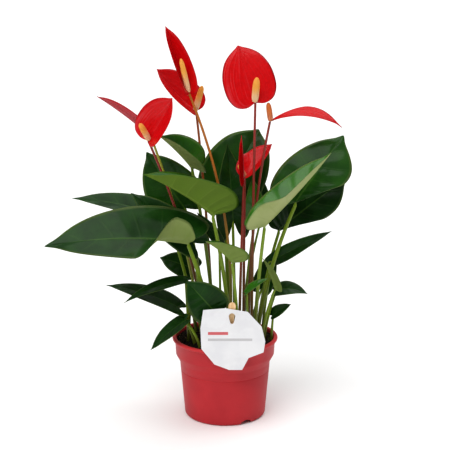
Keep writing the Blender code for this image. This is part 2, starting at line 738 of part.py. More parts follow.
clearScene()
makePot()
makeSoil()
makeStick()
makeCard()
for leafName, leaf in LEAVES.items():
    makeLeaf(leafName, **leaf)
for flowerName, flower in FLOWERS.items():
    makeFlower(flowerName, **flower)
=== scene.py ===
import json
import math

import bmesh
import bpy
import numpy as np
from mathutils import Matrix, Vector


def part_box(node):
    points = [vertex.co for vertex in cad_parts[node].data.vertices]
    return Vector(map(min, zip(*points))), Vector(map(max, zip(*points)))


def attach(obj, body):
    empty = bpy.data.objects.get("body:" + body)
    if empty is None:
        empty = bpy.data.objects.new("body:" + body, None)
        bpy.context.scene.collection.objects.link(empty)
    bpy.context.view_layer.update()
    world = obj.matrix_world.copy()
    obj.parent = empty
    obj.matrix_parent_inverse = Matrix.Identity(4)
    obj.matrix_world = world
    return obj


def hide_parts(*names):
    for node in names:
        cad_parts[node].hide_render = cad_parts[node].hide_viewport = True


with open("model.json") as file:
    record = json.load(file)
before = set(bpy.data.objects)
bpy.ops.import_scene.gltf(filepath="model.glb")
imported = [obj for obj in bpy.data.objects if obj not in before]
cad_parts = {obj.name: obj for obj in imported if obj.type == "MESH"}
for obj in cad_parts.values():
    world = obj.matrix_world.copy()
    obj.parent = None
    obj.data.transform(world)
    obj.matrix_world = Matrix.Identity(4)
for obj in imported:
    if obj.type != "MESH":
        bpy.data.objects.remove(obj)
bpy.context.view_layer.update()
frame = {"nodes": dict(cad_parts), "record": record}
mm = 0.001
print("frame loaded:", len(frame["nodes"]), "nodes")


# Node trees

class Wire:
    # an output socket: + - * / ** on it add Math nodes to its tree
    def __init__(self, nodes, socket):
        self.nodes = nodes
        self.socket = socket

    def maths(self, operation, *others, swapped=False):
        values = [*others, self] if swapped else [self, *others]
        return self.nodes.add("ShaderNodeMath", {"operation": operation}, dict(enumerate(values)))

    def __add__(self, other):
        return self.maths("ADD", other)

    def __sub__(self, other):
        return self.maths("SUBTRACT", other)

    def __rsub__(self, other):
        return self.maths("SUBTRACT", other, swapped=True)

    def __mul__(self, other):
        return self.maths("MULTIPLY", other)

    def __truediv__(self, other):
        return self.maths("DIVIDE", other)

    def __pow__(self, other):
        return self.maths("POWER", other)

    def __abs__(self):
        return self.maths("ABSOLUTE")

    __radd__ = __add__
    __rmul__ = __mul__

    def between(self, low, high):
        # 0 up to low, 1 from high, smooth in between; low may be the larger
        span = {"interpolation_type": "SMOOTHSTEP"}
        return self.nodes.add("ShaderNodeMapRange", span, {0: self, 1: low, 2: high, 3: 0.0, 4: 1.0})


class Nodes:
    # builds a shader or a geometry tree
    def __init__(self, tree):
        self.tree = tree

    def add(self, kind, settings=None, inputs=None, output=0):
        node = self.tree.nodes.new(kind)
        for key, value in (settings or {}).items():
            if key == "stops":
                self.setStops(node.color_ramp, value)
            elif key == "curve":
                self.setCurve(node.mapping, value)
            else:
                setattr(node, key, value)
        for key, value in (inputs or {}).items():
            self.join(node.inputs[key], value)
        return Wire(self, node.outputs[output])

    def join(self, socket, value):
        for one in value if isinstance(value, list) else [value]:
            if isinstance(one, Wire):
                self.tree.links.new(one.socket, socket)
            else:
                socket.default_value = one

    def setStops(self, ramp, stops):
        while len(ramp.elements) < len(stops):
            ramp.elements.new(1)
        for element, (place, colour) in zip(ramp.elements, stops):
            element.position = place
            element.color = (*colour, 1)

    def setCurve(self, mapping, points):
        curve = mapping.curves[0]
        while len(curve.points) < len(points):
            curve.points.new(1, 1)
        for point, place in zip(curve.points, points):
            point.location = place
        mapping.update()


class Paint(Nodes):
    # a material on the Principled shader; the sockets given here are the same all over it
    def __init__(self, name, sockets):
        self.material = bpy.data.materials.new(name)
        self.material.use_nodes = True
        super().__init__(self.material.node_tree)
        self.shader = self.tree.nodes["Principled BSDF"]
        for key, value in sockets.items():
            self.set(key, value)

    def set(self, name, value):
        self.join(self.shader.inputs[name], value)

    def attribute(self, name):
        return self.add("ShaderNodeAttribute", {"attribute_name": name}, output="Fac")

    def mix(self, share, first, second):
        colours = {6: self.colour(first), 7: self.colour(second)}
        return self.add("ShaderNodeMix", {"data_type": "RGBA"}, {0: share, **colours}, output=2)

    def colour(self, value):
        return value if isinstance(value, Wire) else (*value, 1)

    def place(self, turn=(0, 0, 0), size=(1, 1, 1), move=(0, 0, 0)):
        # object coordinates, in metres
        where = self.add("ShaderNodeTexCoord", output="Object")
        sockets = {"Vector": where, "Location": move, "Rotation": turn, "Scale": size}
        return self.add("ShaderNodeMapping", {}, sockets)

    def noise(self, scale, detail=3.0, where=None, rough=0.5):
        where = where or self.add("ShaderNodeTexCoord", output="Object")
        sockets = {"Vector": where, "Scale": scale, "Detail": detail, "Roughness": rough}
        return self.add("ShaderNodeTexNoise", {}, sockets)

    def bump(self, height, strength, depth):
        sockets = {"Height": height, "Strength": strength, "Distance": depth}
        self.set("Normal", self.add("ShaderNodeBump", {}, sockets))


class Recipe(Nodes):
    # a geometry tree with named inputs
    def __init__(self, name, **inputs):
        super().__init__(bpy.data.node_groups.new(name, "GeometryNodeTree"))
        kinds = {float: "NodeSocketFloat", int: "NodeSocketInt"}
        self.tree.interface.new_socket("Geometry", in_out="INPUT", socket_type="NodeSocketGeometry")
        self.tree.interface.new_socket("Geometry", in_out="OUTPUT", socket_type="NodeSocketGeometry")
        self.sockets = {}
        for key, value in inputs.items():
            item = self.tree.interface.new_socket(key, in_out="INPUT", socket_type=kinds[type(value)])
            item.default_value = value
            self.sockets[key] = item.identifier
        self.start = self.tree.nodes.new("NodeGroupInput")
        self.output = self.tree.nodes.new("NodeGroupOutput")

    def input(self, name):
        return Wire(self, self.start.outputs[name])

    def named(self, geometry, name, value):
        settings = {"data_type": "FLOAT", "domain": "POINT"}
        sockets = {"Geometry": geometry, "Name": name, "Value": value}
        return self.add("GeometryNodeStoreNamedAttribute", settings, sockets)

    def finish(self, geometry, material):
        geometry = self.add("GeometryNodeRealizeInstances", {}, {0: geometry})
        geometry = self.add("GeometryNodeSetMaterial", {}, {"Geometry": geometry, "Material": material})
        self.join(self.output.inputs[0], geometry)

    def grow(self, name, source=None, **inputs):
        # runs the tree on a mesh or a curve, and keeps the result as a plain mesh
        seed = bpy.data.objects.new(name + "Seed", source or bpy.data.meshes.new(name + "Seed"))
        bpy.context.scene.collection.objects.link(seed)
        modifier = seed.modifiers.new("Grow", "NODES")
        modifier.node_group = self.tree
        for key, value in inputs.items():
            modifier[self.sockets[key]] = value
        seen = seed.evaluated_get(bpy.context.evaluated_depsgraph_get())
        mesh = bpy.data.meshes.new_from_object(seen)
        bpy.data.objects.remove(seed)
        return addPiece(name, mesh)


# Meshes

def addPiece(name, mesh, *materials):
    piece = bpy.data.objects.new(name, mesh)
    bpy.context.scene.collection.objects.link(piece)
    for material in materials:
        mesh.materials.append(material)
    return piece


def keep(piece, slot, *nodes):
    # the piece goes with the pot and stands for these CAD nodes
    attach(piece, "root")
    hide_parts(*nodes)


def loft(name, rings, material, fields=None):
    # a closed skin over rings of points in millimetres, with its values stored as attributes
    rows, around = rings.shape[:2]
    step = np.arange(around)
    faces = [list(step[::-1]), list(step + (rows - 1) * around)]
    for row in range(rows - 1):
        low, high = step + row * around, step + (row + 1) * around
        faces += np.stack([low, np.roll(low, -1), np.roll(high, -1), high], 1).tolist()
    mesh = bpy.data.meshes.new(name)
    mesh.from_pydata((rings.reshape(-1, 3) * mm).tolist(), [], faces)
    for key, values in (fields or {}).items():
        stored = mesh.attributes.new(key, "FLOAT", "POINT")
        stored.data.foreach_set("value", np.ravel(values).astype(np.float32))
    tidy = bmesh.new()
    tidy.from_mesh(mesh)
    bmesh.ops.recalc_face_normals(tidy, faces=tidy.faces)
    tidy.to_mesh(mesh)
    tidy.free()
    mesh.shade_smooth()
    return addPiece(name, mesh, material)


def seat(rings, node):
    # moves the rings so that their box has the middle of the CAD node's box
    low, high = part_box(node)
    middle = (np.array(low) + np.array(high)) / 2 / mm
    return rings + middle - (rings.min((0, 1)) + rings.max((0, 1))) / 2


def unit(vector):
    return vector / np.linalg.norm(vector, axis=-1, keepdims=True)


def spline(points, share):
    # a smooth curve through the points, read at shares from 0 to 1
    points = np.array(points, float)
    at = np.clip(share, 0, 1 - 1e-9) * (len(points) - 1)
    i = at.astype(int)
    t = (at - i)[..., None]
    a, b, c, d = (points[np.clip(i + k, 0, len(points) - 1)] for k in (-1, 0, 1, 2))
    return 0.5 * (2 * b + (c - a) * t + (2 * a - 5 * b + 4 * c - d) * t**2 + (3 * b - a - 3 * c + d) * t**3)


def wave(seed, *places):
    # a gentle uneven wave, the same for the same seed
    total = 0
    for k in range(3):
        total = total + np.sin(sum((1.3 + k) * p for p in places) + seed * (k + 1.7)) / (k + 1.5)
    return total


# Half outlines, from the notch round the lobe to the tip: share of the half width, share of the length
outlines = {
    "heart": (
        (0, 0), (0.32, -0.12), (0.66, -0.14), (0.92, -0.01), (1.0, 0.18),
        (0.93, 0.4), (0.7, 0.64), (0.33, 0.86), (0, 1),
    ),
    "arrow": (
        (0, 0), (0.3, -0.1), (0.65, -0.08), (0.93, 0.08), (1.0, 0.27),
        (0.86, 0.5), (0.56, 0.72), (0.22, 0.9), (0, 1),
    ),
    "round": (
        (0, 0), (0.36, -0.05), (0.73, 0.0), (0.95, 0.15), (1.0, 0.35),
        (0.93, 0.56), (0.69, 0.77), (0.28, 0.93), (0, 1),
    ),
    "tucked": (
        (0, 0), (0.1, 0.05), (0.24, 0.13), (0.43, 0.24), (0.67, 0.37),
        (0.91, 0.52), (0.84, 0.7), (0.4, 0.88), (0, 1),
    ),
    "blunt": (
        (0, 0), (0.28, -0.03), (0.55, -0.01), (0.86, 0.05), (1.0, 0.19),
        (0.94, 0.4), (0.7, 0.64), (0.33, 0.86), (0, 1),
    ),
    "spear": (
        (0, 0), (0.36, -0.12), (0.7, -0.17), (0.95, -0.1), (1.0, 0.04),
        (0.84, 0.26), (0.6, 0.5), (0.32, 0.75), (0, 1),
    ),
    "deep": (
        (0, 0), (0.3, -0.2), (0.66, -0.25), (0.94, -0.09), (1.0, 0.14),
        (0.87, 0.38), (0.6, 0.63), (0.27, 0.86), (0, 1),
    ),
}


# a curl near the notch fades out over curlFade and is gone at curlEnd; curlAtRib of it turns the whole half
curlEnd = 0.62
curlFade = 0.18
curlAtRib = 0.4


class Blade:
    # a leaf's or a spathe's surface, in millimetres: along runs from the notch to the tip,
    # across from the left margin at -1 over the midrib to the right margin at 1, lift is off the surface
    def __init__(
        self, joint, tip, width, faces, droop=0, fold=(0, 0), cup=0, curl=(0, 0), twist=0,
        outline=("heart", "heart"),
    ):
        self.joint = np.array(joint, float)
        chord = np.array(tip, float) - self.joint
        span = np.linalg.norm(chord)
        self.bend = math.radians(droop or 0.1)
        self.radius = span / (2 * math.sin(self.bend / 2))
        self.length = self.radius * self.bend
        self.forward = chord / span
        self.right = unit(np.cross(self.forward, faces))
        self.up = np.cross(self.right, self.forward)
        self.half = width / 2
        self.fold = np.radians(fold)
        self.cup = math.radians(cup)
        self.curl = np.radians(curl)
        self.twist = math.radians(twist)
        self.outline = [outlines[half] for half in outline]

    def frame(self, run):
        start = self.bend / 2
        now = start - run / self.radius
        ahead = self.radius * (math.sin(start) - np.sin(now))
        rise = self.radius * (np.cos(now) - math.cos(start))
        up = self.up * np.cos(now) - self.forward * np.sin(now)
        roll = self.twist * np.maximum(run, 0) / self.length
        middle = self.joint + self.forward * ahead + self.up * rise
        cos, sin = np.cos(roll), np.sin(roll)
        return middle, self.right * cos - up * sin, up * cos + self.right * sin

    def edge(self, along, half):
        # the outline's share of the half width, and its share of the length
        left, right = (spline(outline, along) for outline in self.outline)
        return np.moveaxis(np.where(half[..., None], right, left), -1, 0)

    def point(self, along, across, lift):
        half = (across > 0).astype(int)
        share, back = self.edge(along, half)
        share = share * (1 - 0.3 * np.exp(-(((along - 0.93) / 0.06) ** 2)))  # drip tip
        inner = 0.03 * along + 0.97 * np.maximum(0, (along - 0.2) / 0.8) ** 1.8
        out = abs(across)
        run = self.length * (inner + (back - inner) * out**1.3)
        basal = np.clip((curlEnd - along) / curlFade, 0, 1)
        ease = basal * basal * (3 - 2 * basal)
        start = self.fold[half] + curlAtRib * self.curl[half] * ease
        fold = (self.fold[1] - self.fold[0] + curlAtRib * ease * (self.curl[1] - self.curl[0])) / 2
        bending = (self.cup + (1 - curlAtRib) * self.curl[half] * ease) / self.half + 1e-5
        end = start + bending * self.half * share * out
        lean = np.where(out > 0, end, fold)
        way = np.where(out > 0, 1, 2 * half - 1)
        aside = (np.sin(end) - np.sin(start)) / bending - lift * np.sin(lean) * way
        rise = (np.cos(start) - np.cos(end)) / bending + lift * np.cos(lean)
        middle, right, up = self.frame(run[..., None])
        return middle + right * (aside * (2 * half - 1))[..., None] + up * rise[..., None]


def around(columns):
    # one turn of a blade's section, over the top from right to left and back underneath
    top = np.linspace(1, -1, columns + 1)
    turn = np.concatenate([top, top[-2:0:-1]])
    under = np.concatenate([np.zeros(columns + 1), np.ones(columns - 1)])
    under[[0, columns]] = 0.5
    return np.sign(turn) * abs(turn) ** 1.35, under


def stemLine(root, end, radius, bow, shares, sink=0):
    # places and directions on a stem that starts upright in the soil and leans over to its end
    foot = np.array([*root, soilTop(max(math.hypot(*root) - radius, 0)) + 0.3 - sink])
    reach = np.linalg.norm(end - foot)
    middle = foot + np.array([bow[0], bow[1], 0.26 * reach]) + 0.24 * (end - foot)
    t = np.array(shares)[:, None]
    places = foot * (1 - t) ** 2 + middle * 2 * t * (1 - t) + end * t**2
    return places, unit((middle - foot) * (1 - t) + (end - middle) * t)


# Pot

potLow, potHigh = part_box("pot")
pot = {
    "rim": (potHigh.x - potLow.x) / 2 / mm,
    "height": potHigh.z / mm,
    "sides": 144,
    "notches": 2,
    "notchTurn": -59.0,  # degrees from +X to the first one
    "notchWidth": 15.0,
    "notchHeight": 5.0,
}


def potSection():
    # the wall's closed section as (radius, height), drawn for a rim of 60 and a height of 92
    inner = [(0.05, 1.4), (20.3, 1.4), (25.3, 6.4), (44.1, 6.4), (46.2, 8.2), (49.6, 63.2)]
    inner += [(53.9, 70.6), (54.4, 72), (55.5, 90.6), (55.8, 91.6), (56.5, 92)]
    lip = [(58 + 2 * math.cos(a), 90 + 2 * math.sin(a)) for a in np.linspace(math.pi / 2, -math.pi / 2, 9)]
    band = [(57.4, 87.9), (57.0, 87.4), (56.2, 73.6), (56.0, 71.8), (55.5, 70.8), (51.9, 64.2)]
    band += [(51.5, 63.2), (51.3, 61.8)]
    line = [(50.9, 55.1), (50.6, 54.6), (50.35, 54.2), (50.2, 53.8), (50.4, 53.2), (50.6, 52.6)]
    turn = np.linspace(0, -math.pi / 2, 7)
    foot = [(42.9 + 3.4 * math.cos(a), 3.4 + 3.4 * math.sin(a)) for a in turn]
    under = [(41.4, 0), (41.0, 0.4), (43.6, 3.6), (43.6, 5), (26, 5), (21.3, 0.3), (20.9, 0), (0.05, 0)]
    wide, tall = pot["rim"] / 60, pot["height"] / 92
    return [(r * wide, z * tall) for r, z in inner + lip + band + line + foot + under]


def turnedPot():
    # the section swept round a circle, less the notches through its foot
    recipe = Recipe("turnedPot", Radius=0.06, Sides=144, Notches=2, Turn=-1.03, Width=0.015, Height=0.005)
    radius, turn = recipe.input("Radius"), recipe.input("Turn")
    ring = {"Radius": radius, "Resolution": recipe.input("Sides")}
    circle = recipe.add("GeometryNodeCurvePrimitiveCircle", {}, ring)
    profile = recipe.input("Geometry")
    wall = recipe.add("GeometryNodeCurveToMesh", {}, {"Curve": circle, "Profile Curve": profile})
    wall = recipe.add("GeometryNodeMergeByDistance", {}, {"Geometry": wall, "Distance": 0.0001})
    share = recipe.add("GeometryNodeInputIndex") / recipe.input("Notches")
    angle = share * (2 * math.pi) + turn
    aside = {0: angle.maths("COSINE") * radius * 0.72, 1: angle.maths("SINE") * radius * 0.72}
    place = recipe.add("ShaderNodeCombineXYZ", {}, aside)
    points = recipe.add("GeometryNodePoints", {}, {"Count": recipe.input("Notches"), "Position": place})
    arch = recipe.add("GeometryNodeMeshCylinder", {}, {"Vertices": 40, "Radius": 0.5, "Depth": 0.02})
    facing = recipe.add("FunctionNodeAxisAngleToRotation", {}, {"Axis": (0, 0, 1), "Angle": angle})
    lying = recipe.add("FunctionNodeEulerToRotation", {}, {0: (0, math.pi / 2, 0)})
    facing = recipe.add("FunctionNodeRotateRotation", {"rotation_space": "LOCAL"}, {0: facing, 1: lying})
    sockets = {0: recipe.input("Height") * 2, 1: recipe.input("Width"), 2: 1.0}
    size = recipe.add("ShaderNodeCombineXYZ", {}, sockets)
    arches = {"Points": points, "Instance": arch, "Rotation": facing, "Scale": size}
    cutters = recipe.add("GeometryNodeInstanceOnPoints", {}, arches)
    cutters = recipe.add("GeometryNodeRealizeInstances", {}, {0: cutters})
    both = {"Mesh 1": wall, "Mesh 2": cutters}
    wall = recipe.add("GeometryNodeMeshBoolean", {"operation": "DIFFERENCE"}, both)
    recipe.finish(wall, potPaint())
    return recipe


def potPaint():
    paint = Paint("redPotPlastic", {"Roughness": 0.5, "Specular IOR Level": 0.4})
    cloud = paint.noise(28, 3)
    speck = paint.noise(900, 3)
    colour = paint.mix(cloud.between(0.3, 0.7), (0.42, 0.016, 0.024), (0.49, 0.022, 0.030))
    colour = paint.mix(speck.between(0.62, 0.8) * 0.12, colour, (0.70, 0.14, 0.14))
    height = paint.add("ShaderNodeSeparateXYZ", {}, {0: paint.place()}, output=2)
    # painted highlight: the band round the lip, 87 to 91 mm up, is painted a brighter red where it catches
    # the light
    colour = paint.mix(height.between(0.087, 0.091) * 0.35, colour, (0.72, 0.06, 0.06))
    paint.set("Base Color", colour)
    paint.set("Roughness", 0.40 + cloud * 0.12 + speck * 0.08)
    paint.bump(speck + paint.noise(60, 2) * 2, 0.12, 0.0004)
    return paint.material


def makePot():
    section = potSection()
    curve = bpy.data.curves.new("potSection", "CURVE")
    curve.dimensions = "2D"
    run = curve.splines.new("POLY")
    run.points.add(len(section) - 1)
    for point, (radius, height) in zip(run.points, section):
        point.co = ((radius - pot["rim"]) * mm, -height * mm, 0, 1)
    run.use_cyclic_u = True
    piece = turnedPot().grow(
        "nurseryPot", curve, Radius=pot["rim"] * mm, Sides=pot["sides"], Notches=pot["notches"],
        Turn=math.radians(pot["notchTurn"]), Width=pot["notchWidth"] * mm, Height=pot["notchHeight"] * mm,
    )
    piece.data.shade_smooth()
    piece.data.set_sharp_from_angle(angle=math.radians(38))
    keep(piece, "pot", "pot")


# Potting mix

soilLow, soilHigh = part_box("soil")
soil = {
    "radius": (soilHigh.x - soilLow.x) / 2 / mm,
    "top": soilHigh.z / mm,
    "mound": 7.0,
    "depth": 14.0,
    "rough": 1.1,
    "bits": {"Density": 130000.0, "Smallest": 0.0007, "Largest": 0.0021, "Seed": 4},
    "fibres": {"Density": 26000.0, "Smallest": 0.0008, "Largest": 0.0022, "Seed": 11},
    "moss": {"Density": 60000.0, "Smallest": 0.0004, "Largest": 0.0011, "Seed": 23},
}


def soilTop(radius):
    return soil["top"] - soil["mound"] * min(radius / soil["radius"], 1) ** 2


def soilPaint(name, dark, light, rough=0.95):
    paint = Paint(name, {"Roughness": rough, "Specular IOR Level": 0.2})
    grain = paint.noise(700, 4)
    paint.set("Base Color", paint.mix(grain.between(0.35, 0.7), dark, light))
    paint.bump(grain, 0.5, 0.0006)
    return paint.material


def crumbs(name, material, stretch):
    # lumps of all sizes scattered over a surface
    recipe = Recipe(name, Density=1000.0, Smallest=0.001, Largest=0.002, Seed=1)
    seed = recipe.input("Seed")
    spread = {"Mesh": recipe.input("Geometry"), "Density": recipe.input("Density"), "Seed": seed}
    points = recipe.add("GeometryNodeDistributePointsOnFaces", {}, spread)
    ball = recipe.add("GeometryNodeMeshIcoSphere", {}, {"Radius": 1.0, "Subdivisions": 2})
    dent = recipe.add("ShaderNodeTexNoise", {}, {"Scale": 1.4}, output=1)
    dent = recipe.add("ShaderNodeVectorMath", {"operation": "SUBTRACT"}, {0: dent, 1: (0.5, 0.5, 0.5)})
    ball = recipe.add("GeometryNodeSetPosition", {}, {"Geometry": ball, "Offset": dent})
    span = {2: 0.0, 3: 1.0, "Seed": seed + 1}
    size = recipe.add("FunctionNodeRandomValue", {"data_type": "FLOAT"}, span, output=1)
    size = recipe.input("Smallest") + (recipe.input("Largest") - recipe.input("Smallest")) * size**2
    size = recipe.add("ShaderNodeCombineXYZ", {}, {0: size, 1: size * stretch[0], 2: size * stretch[1]})
    full = {0: (0, 0, 0), 1: (6.283, 6.283, 6.283), "Seed": seed + 2}
    turn = recipe.add("FunctionNodeRandomValue", {"data_type": "FLOAT_VECTOR"}, full)
    scattered = {"Points": points, "Instance": ball, "Rotation": turn, "Scale": size}
    recipe.finish(recipe.add("GeometryNodeInstanceOnPoints", {}, scattered), material)
    return recipe


def soilSkin(inside, outside, start, end):
    # a ring sector of the uneven top, for crumbs to lie on
    turns, steps = 120, 26
    angle = np.radians(np.linspace(start, end, turns))[None, :]
    radius = np.linspace(inside, outside, steps)[:, None]
    level = soil["top"] - soil["mound"] * (radius / soil["radius"]) ** 2
    lumps = wave(3, radius / 5, 4 * np.cos(angle)) * wave(5, 5 * np.sin(angle), radius / 9)
    level = level + soil["rough"] * lumps
    return np.stack([radius * np.cos(angle), radius * np.sin(angle), level], -1)


def sheetMesh(name, grid):
    rows, columns = grid.shape[:2]
    cell = (np.arange(rows - 1)[:, None] * columns + np.arange(columns - 1)).ravel()
    mesh = bpy.data.meshes.new(name)
    faces = np.stack([cell, cell + columns, cell + columns + 1, cell + 1], 1)
    mesh.from_pydata((grid.reshape(-1, 3) * mm).tolist(), [], faces.tolist())
    mesh.shade_smooth()
    return mesh


def makeSoil():
    peat = soilPaint("darkPeat", (0.006, 0.004, 0.003), (0.035, 0.022, 0.014))
    straw = soilPaint("paleFibres", (0.10, 0.06, 0.03), (0.26, 0.18, 0.09))
    green = soilPaint("moss", (0.03, 0.045, 0.008), (0.10, 0.12, 0.02))
    grid = soilSkin(0.2, soil["radius"] + 0.2, 0, 360)
    top = grid[:, :-1]
    side = top[-1:] * (0.955, 0.955, 1) - (0, 0, soil["depth"])
    floor = side * (0.01, 0.01, 1)
    body = loft("pottingMix", np.concatenate([top, side, floor]), peat)
    surface = sheetMesh("soilSurface", grid)
    pieces = [crumbs("peatCrumbs", peat, (1.0, 0.7)).grow("peatCrumbs", surface, **soil["bits"])]
    pieces.append(crumbs("fibreCrumbs", straw, (0.35, 0.3)).grow("fibres", surface, **soil["fibres"]))
    mossy = sheetMesh("mossSurface", soilSkin(38, soil["radius"], -40, 60))
    pieces.append(crumbs("mossCrumbs", green, (0.9, 0.8)).grow("mossTufts", mossy, **soil["moss"]))
    keep(body, "soil", "soil")
    for piece in pieces:
        piece.data.shade_smooth()
        keep(piece, "soil", "soil")


# Label

def softened(node, name, width):
    # a copy of the CAD node with its edges rounded
    mesh = frame["nodes"][node].data.copy()
    shape = bmesh.new()
    shape.from_mesh(mesh)
    bmesh.ops.remove_doubles(shape, verts=shape.verts, dist=1e-6)
    bmesh.ops.dissolve_limit(shape, angle_limit=math.radians(2), verts=shape.verts, edges=shape.edges)
    shape.to_mesh(mesh)
    shape.free()
    mesh.materials.clear()
    piece = addPiece(name, mesh)
    bevel = piece.modifiers.new("Bevel", "BEVEL")
    bevel.width = width
    bevel.segments = 3
    bevel.angle_limit = math.radians(40)
    mesh.shade_smooth()
    mesh.set_sharp_from_angle(angle=math.radians(40))
    return piece


def woodPaint():
    paint = Paint("paleBirch", {"Roughness": 0.6})
    stretched = paint.place(size=(500, 500, 24))
    grain = paint.noise(1.0, 5, stretched, 0.65)
    fine = paint.noise(3.0, 3, stretched)
    colour = paint.mix(grain.between(0.35, 0.65), (0.68, 0.40, 0.18), (0.86, 0.62, 0.36))
    paint.set("Base Color", paint.mix(fine.between(0.6, 0.72) * 0.35, colour, (0.45, 0.22, 0.08)))
    paint.set("Roughness", 0.5 + grain * 0.2)
    paint.bump(grain + fine, 0.25, 0.0002)
    return paint.material


def cardPaint():
    # off-white coated card with a faint cloudy print and two plain bars where a label would have its words
    low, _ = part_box("label_card")
    paint = Paint("coatedCard", {"Roughness": 0.45, "Coat Weight": 0.15, "Coat Roughness": 0.3})
    where = paint.place(move=(-low.x, 0, -low.z))
    x, z = (paint.add("ShaderNodeSeparateXYZ", {}, {0: where}, output=i) for i in (0, 2))
    cloud = paint.noise(45, 4)
    rings = {"Vector": where, "Scale": 26.0, "Distortion": 9.0, "Detail": 3.0}
    swirl = paint.add("ShaderNodeTexWave", {"wave_type": "RINGS"}, rings, output=1)
    colour = paint.mix(cloud.between(0.35, 0.7), (0.76, 0.76, 0.77), (0.70, 0.70, 0.72))
    colour = paint.mix(swirl.between(0.75, 0.95) * 0.10, colour, (0.55, 0.52, 0.55))

    def bar(left, right, bottom, top):
        soft = 0.0003
        across = x.between(left, left + soft) * x.between(right, right - soft)
        return across * z.between(bottom, bottom + soft) * z.between(top, top - soft)

    colour = paint.mix(bar(0.008, 0.030, 0.0375, 0.0410) * 0.9, colour, (0.55, 0.05, 0.06))
    colour = paint.mix(bar(0.008, 0.056, 0.0310, 0.0340) * 0.6, colour, (0.36, 0.34, 0.35))
    paint.set("Base Color", colour)
    paint.set("Roughness", 0.4 + cloud * 0.15)
    paint.bump(paint.noise(2500, 2), 0.08, 0.0001)
    return paint.material


def makeLabel():
    stick = softened("label_stick", "labelStick", 0.0004)
    stick.data.materials.append(woodPaint())
    keep(stick, "wood", "label_stick")
    card = softened("label_card", "labelCard", 0.00012)
    card.data.materials.append(cardPaint())
    keep(card, "card", "label_card")


# Leaves

